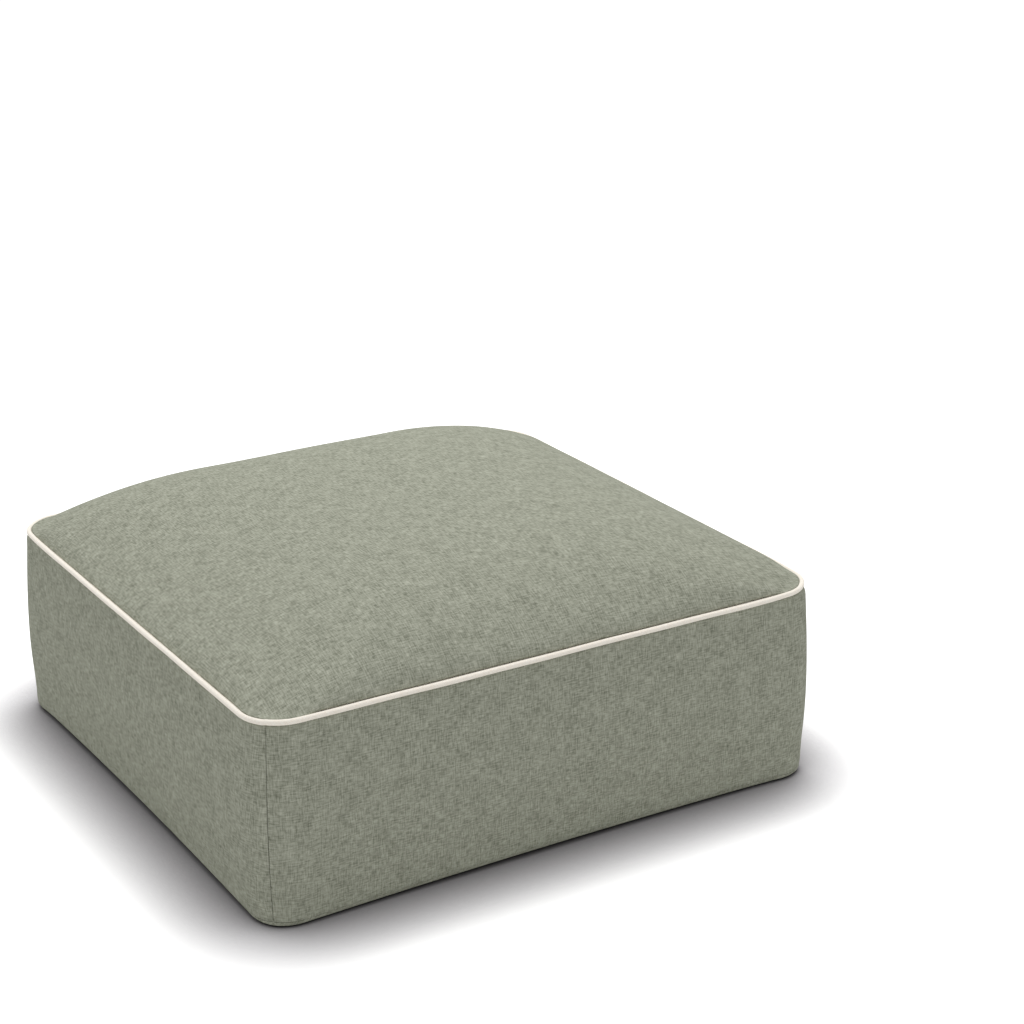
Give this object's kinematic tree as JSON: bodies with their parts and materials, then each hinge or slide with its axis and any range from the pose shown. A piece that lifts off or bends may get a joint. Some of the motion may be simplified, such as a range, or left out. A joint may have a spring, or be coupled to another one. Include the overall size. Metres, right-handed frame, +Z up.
{
  "type": "inflatable ottoman",
  "caption": "Low square inflatable ottoman in a woven cover with a crowned top, piped top seam, zip low in the back and capped air valve in the underside.",
  "frame": {"origin": "middle of the underside, on the floor", "axes": "+Z up, X along the wider side, front towards -Y, zip in the back towards +Y"},
  "size_m": [0.811, 0.7772, 0.3497],
  "materials": {
    "cover_fabric": "woven, matte",
    "piping_fabric": "woven bias strip, matte",
    "piping_cord": "soft twisted cord",
    "zip_tape": "fine weave, matte",
    "zip_coil": "satin",
    "zip_metal": "satin",
    "wadding": "soft fibre",
    "bladder_film": "satin film",
    "valve_plastic": "satin",
    "valve_insert_plastic": "satin",
    "silicone": "soft, matte",
    "steel": "brushed"
  },
  "bodies": {
    "ottoman": {"cover_top_panel": "cover_fabric", "cover_front_panel": "cover_fabric", "cover_right_panel": "cover_fabric", "cover_back_panel": "cover_fabric", "cover_left_panel": "cover_fabric", "cover_base_panel": "cover_fabric", "piping_casing": "piping_fabric", "piping_cord": "piping_cord", "zip_tape_upper": "zip_tape", "zip_tape_lower": "zip_tape", "zip_coil_upper": "zip_coil", "zip_coil_lower": "zip_coil", "zip_stops": "zip_metal", "top_padding": "wadding", "side_padding": "wadding", "bladder_top_sheet": "bladder_film", "bladder_side_wall": "bladder_film", "bladder_bottom_sheet": "bladder_film", "bladder_baffle_1": "bladder_film", "bladder_baffle_2": "bladder_film", "bladder_baffle_3": "bladder_film", "bladder_baffle_4": "bladder_film", "valve_body": "valve_plastic", "valve_insert": "valve_insert_plastic", "valve_flap": "silicone", "valve_hinge_pin": "steel"},
    "zip_slider": {"zip_slider": "zip_metal"},
    "zip_pull": {"zip_pull": "zip_metal"},
    "valve_cap": {"valve_cap": "valve_plastic", "valve_seal_ring": "silicone"}
  },
  "joints": [
    {"name": "zip_slide", "type": "slide", "parent": "ottoman", "child": "zip_slider", "axis": [-1, 0, 0], "range_m": [0, 0.6084]},
    {"name": "zip_pull_swing", "type": "hinge", "parent": "zip_slider", "child": "zip_pull", "pos_m": [0.3042, 0.38756, 0.04775], "axis": [0, 0.0812, 0.9967], "range_deg": [0, 175]},
    {"name": "valve_cap_flip", "type": "hinge", "parent": "ottoman", "child": "valve_cap", "pos_m": [0, 0.278, 0.0026], "axis": [1, 0, 0], "range_deg": [0, 140]}
  ]
}
